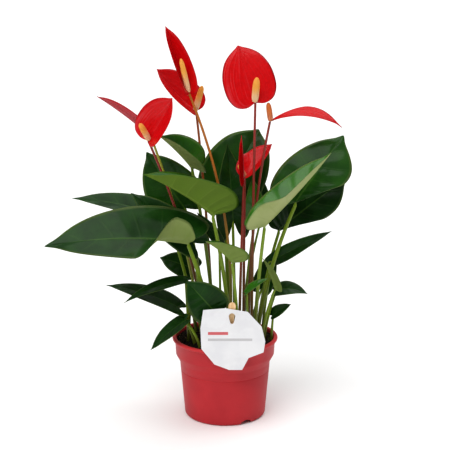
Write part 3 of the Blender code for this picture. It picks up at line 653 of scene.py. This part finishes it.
# root is where the petiole leaves the soil, joint where it meets the blade, faces the way its upper side
# looks; tone runs from an old dark leaf to a young bright one, pale from an olive underside to a pale one
leaves = {
    "leaf_far_left": dict(
        root=(-12, -33), joint=(-40, -37, 209), tip=(-194, -50, 207), width=84, faces=(0, -0.58, 1),
        droop=24, fold=(14, 18), curl=(100, 0), twist=-8, outline=("blunt", "heart"), tone=0.15, pale=0.45,
    ),
    "leaf_left_dark": dict(
        root=(-24, -13), joint=(-36, -8, 202), tip=(-105, 4, 256), width=42, faces=(-0.5, -0.8, 0.6),
        droop=40, fold=(35, 12),
    ),
    "leaf_back_left": dict(
        root=(-33, 9), joint=(-66, 38, 220), tip=(-177, 45, 242), width=44, faces=(0, -0.4, 1),
        droop=22, fold=(10, 14),
    ),
    "leaf_left_heart": dict(
        root=(-22, 21), joint=(-46, 24, 235), tip=(-89, 32, 298), width=66, faces=(-0.3, -1, 0.4),
        droop=20, fold=(10, 10), tone=0.25, pale=0.3,
    ),
    "leaf_left_young": dict(
        root=(-12, 12), joint=(-36, 12, 283), tip=(-73, 2, 320), width=52, faces=(0.5, -0.9, 0.6),
        droop=20, fold=(78, 10), tone=0.9, pale=0.45,
    ),
    "leaf_front_olive": dict(
        root=(7, -23), joint=(-12, -30, 238), tip=(-87, -46, 285), width=66, faces=(0.45, 0.25, 0.9),
        droop=15, fold=(85, 50), outline=("spear", "arrow"), tone=0.7, pale=0.1,
    ),
    "leaf_back_tall": dict(
        root=(5, 30), joint=(-3, 52, 237), tip=(39, 66, 320), width=80, faces=(-0.2, -1, 0.3),
        droop=15, fold=(8, 14), outline=("round", "round"), tone=0.3, pale=0.3,
    ),
    "leaf_centre_dark": dict(
        root=(11, 8), joint=(9, 30, 220), tip=(2, 32, 308), width=42, faces=(0.2, -1, 0.1),
        droop=15, fold=(14, 14), outline=("deep", "deep"),
    ),
    "leaf_right_large": dict(
        root=(36, -3), joint=(79, 4, 245), tip=(133, 24, 318), width=74, faces=(-0.2, -1, 0.6),
        droop=18, fold=(8, -10), outline=("heart", "tucked"), tone=0.3, pale=0.5,
    ),
    "leaf_right_vivid": dict(
        root=(38, 18), joint=(62, 36, 206), tip=(141, 50, 265), width=56, faces=(-0.3, -1, 0.6),
        droop=16, fold=(4, 4), outline=("round", "tucked"), tone=0.0, pale=0.3,
    ),
    "leaf_right_folded": dict(
        root=(33, -22), joint=(42, -30, 226), tip=(115, -22, 305), width=56, faces=(-0.8, -0.1, 1),
        droop=-10, fold=(45, 30), curl=(0, 38), tone=1.0, pale=0.85,
    ),
    "leaf_small_olive": dict(
        root=(15, -37), joint=(9, -46, 189), tip=(-21, -50, 213), width=40, faces=(0.6, 0.25, 0.9),
        droop=20, fold=(58, 34), outline=("spear", "arrow"), tone=0.7, pale=0.3,
    ),
    "leaf_right_narrow": dict(
        root=(43, 11), joint=(54, 13, 176), tip=(121, 11, 211), width=19, faces=(-0.3, -1, 0.6),
        droop=14, fold=(28, 14), outline=("arrow", "arrow"),
    ),
    "leaf_right_curled": dict(
        root=(44, -10), joint=(57, 3, 143), tip=(93, -6, 142), width=26, faces=(0, -0.5, 1),
        droop=60, fold=(8, 8), outline=("arrow", "arrow"),
    ),
    "leaf_right_small": dict(
        root=(53, -5), joint=(54, -3, 116), tip=(75, -5, 130), width=16, faces=(0, -0.7, 1),
        droop=20, fold=(15, 15), outline=("arrow", "arrow"),
    ),
    "leaf_low_left": dict(
        root=(-34, -25), joint=(-52, -22, 131), tip=(-131, -30, 159), width=36, faces=(0.1, -0.35, 1),
        droop=24, fold=(6, 6), outline=("arrow", "arrow"),
    ),
    "leaf_low_narrow": dict(
        root=(-41, -15), joint=(-43, -27, 163), tip=(-110, -46, 143), width=18, faces=(0, -0.5, 1),
        droop=40, fold=(14, 14), outline=("arrow", "arrow"),
    ),
    "leaf_front_dark": dict(
        root=(-10, -40), joint=(-12, -50, 136), tip=(-41, -50, 169), width=44, faces=(0, -1, 0.2),
        droop=14, fold=(8, 8),
    ),
    "leaf_bottom_left": dict(
        root=(-28, -36), joint=(-44, -32, 119), tip=(-83, -30, 84), width=24, faces=(-0.4, -0.6, 1),
        droop=20, fold=(12, 12), outline=("arrow", "arrow"),
    ),
    "leaf_mid_dark": dict(
        root=(-42, 19), joint=(-36, 34, 161), tip=(-76, 40, 173), width=32, faces=(0, -1, 0.6),
        droop=20, fold=(8, 8),
    ),
    "leaf_pale_thin": dict(
        root=(25, -30), joint=(23, -38, 153), tip=(47, -43, 170), width=12, faces=(0, -0.6, 1),
        droop=30, fold=(16, 16), outline=("arrow", "arrow"), tone=0.8, pale=0.8,
    ),
    "leaf_right_olive": dict(
        root=(41, -17), joint=(57, -15, 150), tip=(42, -17, 186), width=22, faces=(1, 0.6, 0.4),
        droop=10, fold=(20, 20), outline=("arrow", "arrow"), tone=0.6, pale=0.3,
    ),
    "leaf_inner_dark": dict(
        root=(30, 24), joint=(43, 36, 137), tip=(58, 44, 180), width=26, faces=(-0.3, -1, 0.3),
        droop=12, fold=(8, 8),
    ),
    "leaf_inner_young": dict(
        root=(21, 15), joint=(34, 25, 217), tip=(31, 28, 270), width=26, faces=(0.2, -1, 0.2),
        droop=10, fold=(14, 14), outline=("arrow", "arrow"), tone=0.9, pale=0.5,
    ),
    "leaf_inner_grey": dict(
        root=(20, 30), joint=(44, 50, 223), tip=(44, 56, 263), width=18, faces=(0.2, -1, 0.3),
        droop=12, fold=(12, 12), outline=("arrow", "arrow"),
    ),
    "leaf_inner_small": dict(
        root=(-5, 7), joint=(-6, 6, 197), tip=(-32, 5, 234), width=16, faces=(0.3, -1, 0.5),
        droop=20, fold=(18, 18), outline=("arrow", "arrow"),
    ),
}

leafForm = {
    "thickness": 0.5, "ripple": 0.4, "veins": 8, "margin": 0.9, "stem": 2.0,
    "columns": 14, "rows": 72, "sink": 9.0,
}


def leafPaint():
    paint = Paint("leafSkin", {"Coat Roughness": 0.12, "Specular IOR Level": 0.14})
    stored = ("across", "along", "under", "stalk", "tone", "pale")
    across, along, under, stalk, tone, pale = map(paint.attribute, stored)
    side = abs(across)
    blotch = paint.noise(45, 3)
    fine = paint.noise(600, 3)
    beat = (along * leafForm["veins"] + across.between(0.01, -0.01) * 0.5).maths("FRACT")
    vein = abs(beat - 0.5).between(0.43, 0.5) * side.between(1.0, 0.55)
    rib = side.between(0.06, 0.01)
    edge = side.between(0.955, 0.995)
    dark = paint.mix(blotch.between(0.3, 0.7), (0.002, 0.020, 0.001), (0.006, 0.038, 0.004))
    bright = paint.mix(blotch.between(0.3, 0.7), (0.020, 0.120, 0.003), (0.045, 0.185, 0.006))
    top = paint.mix(tone, dark, bright)
    top = paint.mix(vein * 0.07 + rib * 0.35 + edge * 0.4, top, (0.09, 0.19, 0.03))
    back = paint.mix(pale, (0.070, 0.135, 0.002), (0.40, 0.44, 0.20))
    back = paint.mix(vein * 0.18 + rib * 0.4, back, (0.20, 0.28, 0.05))
    back = paint.mix(blotch.between(0.4, 0.75) * 0.25, back, (0.10, 0.18, 0.01))
    skin = paint.mix(under, top, back)
    # the petiole darkens and browns towards the soil: partly its brown sheath, partly painted shade low in
    # the clump
    stem = paint.mix(along.between(-0.95, -0.35), (0.10, 0.12, 0.012), (0.18, 0.27, 0.02))
    stem = paint.mix(fine.between(0.55, 0.8) * 0.35, stem, (0.14, 0.12, 0.02))
    paint.set("Base Color", paint.mix(stalk, skin, stem))
    paint.set("Roughness", 0.32 + blotch * 0.12 + under * 0.15 + fine * 0.06)
    paint.set("Coat Weight", (0.12 + tone * 0.45) * (1 - under))
    paint.bump(vein * 0.8 + fine * 0.3 + rib * 0.6, 0.3, 0.0005)
    return paint.material


def makeLeaf(node, material, root, joint, width, tone=0.1, pale=0.3, bow=(0, 0), **shape):
    form = leafForm
    blade = Blade(joint, width=width, **shape)
    detail = min(1, 0.4 + blade.length / 160)
    across, under = around(2 * round(form["columns"] * detail))
    stem = form["stem"] * (0.55 + width / 140)
    _, right, up = (part[0] for part in blade.frame(np.zeros((1, 1))))

    # petiole
    shares = np.linspace(0, 0.98, 16)
    middles, ways = stemLine(root, blade.joint - up * stem, 1.25 * stem, bow, shares)
    ways[0] = (0, 0, 1)
    right = unit(right - ways * (ways @ right)[:, None])[:, None]
    up = np.cross(right, ways[:, None])
    turn = np.linspace(0, 2 * math.pi, len(across), endpoint=False)[None, :, None]
    thick = (stem * (1.25 - 0.35 * shares))[:, None, None]
    petiole = middles[:, None] + (right * np.cos(turn) + up * np.sin(turn)) * thick

    # blade: veins sunk into its upper side, a rib below, a wavy margin
    along = np.linspace(0.02, 0.993, round(form["rows"] * detail))[:, None]
    flat = (across + 0 * along, along + 0 * across)
    side = abs(flat[0])
    body = form["thickness"] / 2 * (1 - side**8) * np.where(under > 0.6, -1, 1)
    phase = 2 * math.pi * (form["veins"] * along + (flat[0] < 0) * 0.5)
    ripple = form["ripple"] * min(1, width / 40) * (1 - np.cos(phase))
    seed = sum(map(ord, node))
    bulge = ripple * side**0.5 * (1 - side**3) * np.clip(along / 0.2, 0, 1)
    bulge = bulge + form["margin"] * side**3 * (1 - along**4) * wave(seed, 5 * along, np.sign(flat[0]))
    away = side * width / 2 * blade.edge(flat[1], flat[0] > 0)[0]
    rib = 1.5 * stem * (1 - along) * np.exp(-((away / (0.8 * stem)) ** 2))
    skin = blade.point(flat[1], flat[0], body + bulge - np.where(under > 0.6, rib, -0.12 * rib))

    rings = seat(np.concatenate([petiole, skin]), node)
    rings = np.concatenate([rings[:1] - (0, 0, form["sink"]), rings])
    many = len(shares) + 1
    blank = np.zeros((many, len(across)))
    runs = np.concatenate([[-1], shares - 1])[:, None] + blank
    neck = np.clip(1 - (along - 0.02) / 0.06, 0, 1) * np.clip(1.4 - side * 1.6, 0, 1)
    fields = {
        "across": np.concatenate([blank, flat[0]]),
        "along": np.concatenate([runs, flat[1]]),
        "under": np.concatenate([blank, under + 0 * along]),
        "stalk": np.concatenate([blank + 1, neck]),
        "tone": np.full(rings.shape[:2], tone),
        "pale": np.full(rings.shape[:2], pale),
    }
    piece = loft(camel(node), rings, material, fields)
    slot = next(part["material_slot"] for part in frame["record"]["subparts"] if part["node"] == node)
    keep(piece, slot, node)


def camel(node):
    first, *rest = node.split("_")
    return first + "".join(word.capitalize() for word in rest)


# Flowers

# node is where stem, spathe and spadix meet; the pink amount runs from deep red to pink streaks of painted
# sheen, warm from a red-brown to an orange stem, ripe from a cream and yellow spadix to a brown one
flowers = {
    "flower_cup": dict(
        root=(-21, 0), node=(-83, -14, 316), tip=(-56, -25, 363), width=54, faces=(-0.5, -1, 0.3),
        spadix=(-91, -24, 336), girth=3.2, droop=-30, fold=(2, 30), cup=20, outline=("round", "round"),
        blush=0.3, warm=0.0, ripe=0.15,
    ),
    "flower_side": dict(
        root=(-27, 9), node=(-81, 4, 318), tip=(-141, 15, 362), width=34, faces=(0.5, 0.3, 1),
        spadix=(-84, 8, 342), girth=2.8, droop=10, fold=(20, 20), cup=10, outline=("round", "round"),
        blush=0.3, warm=1.0, ripe=0.5,
    ),
    "flower_tall": dict(
        root=(4, -10), node=(-39, -4, 367), tip=(-64, 4, 438), width=34, faces=(0.35, -1, 0.1),
        spadix=(-47, -16, 404), girth=2.8, droop=-16, fold=(50, 40), cup=20,
        outline=("round", "round"), bow=(24, 0),
        blush=0.45, warm=0.5, ripe=0.0,
    ),
    "flower_twisted": dict(
        root=(-14, 27), node=(-32, 27, 344), tip=(-75, 20, 391), width=50, faces=(0.8, -0.7, 0.3),
        spadix=(-25, 16, 373), girth=3.4, droop=-30, fold=(25, 15), cup=20, outline=("round", "round"),
        blush=0.6, warm=0.25, ripe=0.05,
    ),
    "flower_heart": dict(
        root=(30, -6), node=(33, 0, 356), tip=(14, 14, 417), width=57, faces=(0, -1, 0.15),
        spadix=(34, -16, 384), girth=3.8, droop=12, fold=(6, 6), outline=("round", "round"),
        blush=0.3, warm=0.0, ripe=0.0,
    ),
    "flower_arching": dict(
        root=(27, 5), node=(49, 4, 335), tip=(128, 0, 329), width=27, faces=(0, -0.4, 1),
        spadix=(47, 1, 356), girth=3.0, droop=75, fold=(14, 14), outline=("tucked", "tucked"), bow=(-7, 0),
        blush=0.2, warm=0.0, ripe=0.8,
    ),
    "flower_young": dict(
        root=(21, -2), node=(22, 20, 271), tip=(53, 33, 307), width=38, faces=(-0.9, -0.6, 0.8),
        spadix=(15, 11, 286), girth=2.4, droop=-10, fold=(30, 20), curl=(40, 0), outline=("round", "round"),
        blush=0.3, warm=0.0, ripe=0.4,
    ),
    "flower_bud": dict(
        root=(16, -12), node=(21, -2, 270), tip=(18, -4, 321), width=20, faces=(-0.3, -1, 0.1),
        droop=-6, fold=(62, 62), cup=30, outline=("arrow", "arrow"), blush=0.0, warm=0.0,
    ),
}

flowerForm = {"thickness": 0.6, "stem": 1.5, "columns": 14, "rows": 60, "florets": 330, "floret": 0.62}


def spathePaint():
    paint = Paint("spatheSkin", {"Coat Weight": 0.25, "Coat Roughness": 0.12, "Specular IOR Level": 0.12})
    across, along, under, blush = map(paint.attribute, ("across", "along", "under", "blush"))
    side = abs(across)
    stretched = paint.add("ShaderNodeCombineXYZ", {}, {0: across * 9, 1: along * 1.6, 2: blush * 7})
    streak = paint.noise(1.0, 3, stretched)
    cell = paint.noise(260, 3)
    vein = abs((side * 4.5 + along * 0.6).maths("FRACT") - 0.5).between(0.42, 0.5)
    deep = paint.mix(cell.between(0.3, 0.7), (0.52, 0.001, 0.003), (0.59, 0.002, 0.005))
    # painted sheen: the pink streaks, scaled by the pink amount, are a painted reflection, stronger on the
    # lit left half and towards the tip; the veins and the margin are made pinker as well
    lit = across.between(0.35, -0.7) * 0.9 + along.between(0.8, 1.0) * 0.5
    pink = streak.between(0.5, 0.75) * (0.03 + blush * lit) + vein * 0.05 + side.between(0.95, 1.0) * 0.3
    top = paint.mix(pink, deep, (0.82, 0.16, 0.19))
    back = paint.mix(streak.between(0.4, 0.75), (0.36, 0.004, 0.010), (0.56, 0.06, 0.08))
    paint.set("Base Color", paint.mix(under, top, back))
    paint.set("Roughness", 0.24 + streak * 0.16 + under * 0.1)
    paint.bump(vein * 0.8 + streak * 1.5 + cell * 0.15, 0.35, 0.0006)
    return paint.material


def spadixPaint():
    paint = Paint("spadixSkin", {"Specular IOR Level": 0.3})
    height, floret, ripe = map(paint.attribute, ("height", "floret", "ripe"))
    grain = paint.noise(900, 2)
    colour = paint.mix(height.between(0.15, 0.7), (0.95, 0.72, 0.45), (0.95, 0.50, 0.10))
    colour = paint.mix(ripe, colour, (0.62, 0.13, 0.04))
    seam = paint.mix(0.3, colour, (0.60, 0.22, 0.05))
    paint.set("Base Color", paint.mix(floret.between(-0.2, 0.8), seam, colour))
    paint.set("Roughness", 0.4 + grain * 0.25)
    paint.bump(grain, 0.3, 0.0002)
    return paint.material


def stemPaint():
    paint = Paint("flowerStem", {"Coat Weight": 0.1, "Specular IOR Level": 0.5})
    along, warm = map(paint.attribute, ("along", "warm"))
    fine = paint.noise(500, 3)
    upper = paint.mix(warm.between(0.0, 0.5), (0.26, 0.018, 0.010), (0.42, 0.13, 0.006))
    upper = paint.mix(warm.between(0.5, 1.0), upper, (0.40, 0.40, 0.03))
    lower = paint.mix(warm, (0.13, 0.07, 0.008), (0.22, 0.26, 0.02))
    colour = paint.mix(along.between(0.15, 0.75), lower, upper)
    paint.set("Base Color", paint.mix(fine.between(0.5, 0.8) * 0.3, colour, (0.30, 0.16, 0.04)))
    paint.set("Roughness", 0.36 + fine * 0.2)
    paint.bump(fine, 0.2, 0.0002)
    return paint.material


def stemRecipe(material):
    # a tube along a curve that narrows to its top
    recipe = Recipe("taperedStem", Foot=0.002, Top=0.001, Sides=20, Warm=0.0)
    run = recipe.add("GeometryNodeResampleCurve", {}, {"Curve": recipe.input("Geometry"), "Count": 48})
    share = recipe.add("GeometryNodeSplineParameter")
    run = recipe.named(run, "along", share)
    run = recipe.named(run, "warm", recipe.input("Warm"))
    radius = recipe.input("Foot") + (recipe.input("Top") - recipe.input("Foot")) * share
    ring = {"Resolution": recipe.input("Sides"), "Radius": 1.0}
    circle = recipe.add("GeometryNodeCurvePrimitiveCircle", {}, ring)
    sockets = {"Curve": run, "Profile Curve": circle, "Scale": radius, "Fill Caps": True}
    tube = recipe.add("GeometryNodeCurveToMesh", {}, sockets)
    recipe.finish(tube, material)
    return recipe


def spadixRecipe(material):
    # florets in a spiral over a blunt finger
    recipe = Recipe("spadix", Length=0.03, Girth=0.003, Florets=300, Floret=0.0006, Ripe=0.0)
    length, girth, florets = (recipe.input(name) for name in ("Length", "Girth", "Florets"))
    envelope = [(0, 0.55), (0.1, 0.9), (0.25, 0.99), (0.5, 1.0), (0.8, 0.86), (0.93, 0.6), (1, 0.12)]

    def radiusAt(share):
        return recipe.add("ShaderNodeFloatCurve", {"curve": envelope}, {"Value": share}) * girth

    end = recipe.add("ShaderNodeCombineXYZ", {}, {2: length})
    line = recipe.add("GeometryNodeCurvePrimitiveLine", {}, {"End": end})
    line = recipe.add("GeometryNodeResampleCurve", {}, {"Curve": line, "Count": 30})
    share = recipe.add("GeometryNodeSplineParameter")
    line = recipe.named(recipe.named(line, "height", share), "floret", 0.0)
    circle = recipe.add("GeometryNodeCurvePrimitiveCircle", {}, {"Resolution": 20, "Radius": 1.0})
    sockets = {"Curve": line, "Profile Curve": circle, "Scale": radiusAt(share) * 0.95, "Fill Caps": True}
    core = recipe.add("GeometryNodeCurveToMesh", {}, sockets)

    index = recipe.add("GeometryNodeInputIndex")
    share = (index + 0.5) / florets
    angle = index * 2.399963
    radius = radiusAt(share) * 0.97
    cos, sin = angle.maths("COSINE"), angle.maths("SINE")
    place = recipe.add("ShaderNodeCombineXYZ", {}, {0: cos * radius, 1: sin * radius, 2: length * share})
    points = recipe.add("GeometryNodePoints", {}, {"Count": florets, "Position": place})
    points = recipe.named(points, "height", share)
    lean = (share - 0.75).between(0.0, 0.25) * 2.2
    outward = recipe.add("ShaderNodeCombineXYZ", {}, {0: cos, 1: sin, 2: lean})
    facing = recipe.add("FunctionNodeAlignRotationToVector", {"axis": "Z"}, {"Vector": outward})
    ball = recipe.add("GeometryNodeMeshIcoSphere", {}, {"Radius": 1.0, "Subdivisions": 2})
    rise = recipe.add("ShaderNodeSeparateXYZ", {}, {0: recipe.add("GeometryNodeInputPosition")}, output=2)
    ball = recipe.named(ball, "floret", rise)
    size = recipe.input("Floret") * (1 - share.between(0.85, 1.0) * 0.4)
    scale = recipe.add("ShaderNodeCombineXYZ", {}, {0: size, 1: size, 2: size * 0.7})
    scattered = {"Points": points, "Instance": ball, "Rotation": facing, "Scale": scale}
    bumps = recipe.add("GeometryNodeInstanceOnPoints", {}, scattered)
    both = recipe.add("GeometryNodeJoinGeometry", {}, {0: [core, bumps]})
    both = recipe.add("GeometryNodeRealizeInstances", {}, {0: both})
    recipe.finish(recipe.named(both, "ripe", recipe.input("Ripe")), material)
    return recipe


def makeSpathe(node, blade, blush, material):
    form = flowerForm
    across, under = around(2 * form["columns"])
    along = np.linspace(0.012, 0.995, form["rows"])[:, None]
    flat = (across + 0 * along, along + 0 * across)
    side = abs(flat[0])
    body = form["thickness"] / 2 * (1 - side**8) * np.where(under > 0.6, -1, 1)
    seed = sum(map(ord, node))
    bulge = 0.25 * np.cos(2 * math.pi * (side * 4.5 + along * 0.6)) * side * (1 - side**4)
    bulge = bulge + 0.6 * side**3 * (1 - along**4) * wave(seed, 4 * along, np.sign(flat[0]))
    rings = seat(blade.point(flat[1], flat[0], body + bulge), node)
    fields = {
        "across": flat[0],
        "along": flat[1],
        "under": under + 0 * along,
        "blush": np.full(rings.shape[:2], blush),
    }
    keep(loft(camel(node), rings, material, fields), "spathe", node)


def makeFlower(
    name, paints, root, node, spadix=None, girth=0, blush=0.2, warm=0.0, ripe=0.0, bow=(0, 0), **shape
):
    form = flowerForm
    blade = Blade(node, **shape)
    makeSpathe(name + "_spathe", blade, blush, paints["spathe"])
    _, right, up = (part[0] for part in blade.frame(np.zeros((1, 1))))

    end = blade.joint - up * 0.35
    shares = np.linspace(0, 1, 24)
    places, _ = stemLine(root, end, form["stem"], bow, shares, sink=6)
    curve = bpy.data.curves.new(name + "Line", "CURVE")
    curve.dimensions = "3D"
    run = curve.splines.new("POLY")
    run.points.add(len(places) - 1)
    for point, place in zip(run.points, places):
        point.co = (*(place * mm), 1)
    stem = paints["stem"].grow(camel(name + "_stem"), curve, Foot=1.75 * mm, Top=1.3 * mm, Warm=warm)
    stem.data.shade_smooth()
    keep(stem, "stem", name + "_peduncle")

    if spadix is None:
        return
    start = blade.joint + up * 0.5 + np.cross(up, right) * girth * 0.5
    tip = np.array(spadix, float)
    aim = Vector(tip - start)
    finger = paints["spadix"].grow(
        camel(name + "_spadix"), None, Length=aim.length * mm, Girth=girth * mm * 0.97,
        Florets=round(form["florets"] * aim.length * girth / 100), Floret=form["floret"] * mm, Ripe=ripe,
    )
    place = Matrix.Translation(Vector(start) * mm) @ aim.to_track_quat("Z", "Y").to_matrix().to_4x4()
    finger.data.transform(place)
    finger.data.shade_smooth()
    keep(finger, "spadix", name + "_spadix")


# Stage

stage = {
    "floor": 60.0,
    "fill": 0.28,
    "lens": 80.64,
    "from": (0, -1.1, 0.454),
    "down": 12.0,
    "lights": {
        "keyLight": dict(facing=(0.5, 0.75, -1.1), strength=1.7, softness=55),
        "topLight": dict(facing=(-0.2, -0.25, -1), strength=1.3, softness=70),
    },
}


def light(name, facing, strength, softness):
    lamp = bpy.data.lights.new(name, "SUN")
    lamp.energy = strength
    lamp.angle = math.radians(softness)
    thing = bpy.data.objects.new(name, lamp)
    thing.location = -Vector(facing)
    thing.rotation_euler = Vector(facing).to_track_quat("-Z", "Y").to_euler()
    bpy.context.scene.collection.objects.link(thing)


def makeStage():
    paint = Paint("studioFloor", {"Roughness": 0.9})
    cloud = paint.noise(3, 2).between(0.3, 0.7)
    paint.set("Base Color", paint.mix(cloud, (0.93, 0.93, 0.93), (0.95, 0.95, 0.95)))
    half = stage["floor"] / 2 / mm
    grid = np.array([[(-half, -half, 0), (half, -half, 0)], [(-half, half, 0), (half, half, 0)]], float)
    mesh = sheetMesh("studioFloor", grid[::-1])
    floor = addPiece("studioFloor", mesh, paint.material)
    # white behind the plant, dimmer as a light
    world = bpy.data.worlds.new("studio")
    world.use_nodes = True
    sky = Nodes(world.node_tree)
    sky.join(world.node_tree.nodes["Background"].inputs["Color"], (1, 1, 1, 1))
    seen = sky.add("ShaderNodeLightPath", output="Is Camera Ray")
    strength = seen * (1 - stage["fill"]) + stage["fill"]
    sky.join(world.node_tree.nodes["Background"].inputs["Strength"], strength)
    scene = bpy.context.scene
    scene.world = world
    scene.view_settings.view_transform = "Standard"
    scene.view_settings.look = "Medium High Contrast"
    for name, lamp in stage["lights"].items():
        light(name, **lamp)
    lens = bpy.data.cameras.new("camera")
    lens.sensor_width = 36
    lens.lens = stage["lens"]
    camera = bpy.data.objects.new("camera", lens)
    camera.location = stage["from"]
    camera.rotation_euler = (math.radians(90 - stage["down"]), 0, 0)
    scene.collection.objects.link(camera)
    scene.camera = camera


makePot()
makeSoil()
makeLabel()
print("pot, soil and label made")
leafSkin = leafPaint()
for node, leaf in leaves.items():
    makeLeaf(node, leafSkin, **leaf)
print("leaves made:", len(leaves))
paints = {"spathe": spathePaint(), "stem": stemRecipe(stemPaint()), "spadix": spadixRecipe(spadixPaint())}
for name, flower in flowers.items():
    makeFlower(name, paints, **flower)
print("flowers made:", len(flowers))
makeStage()
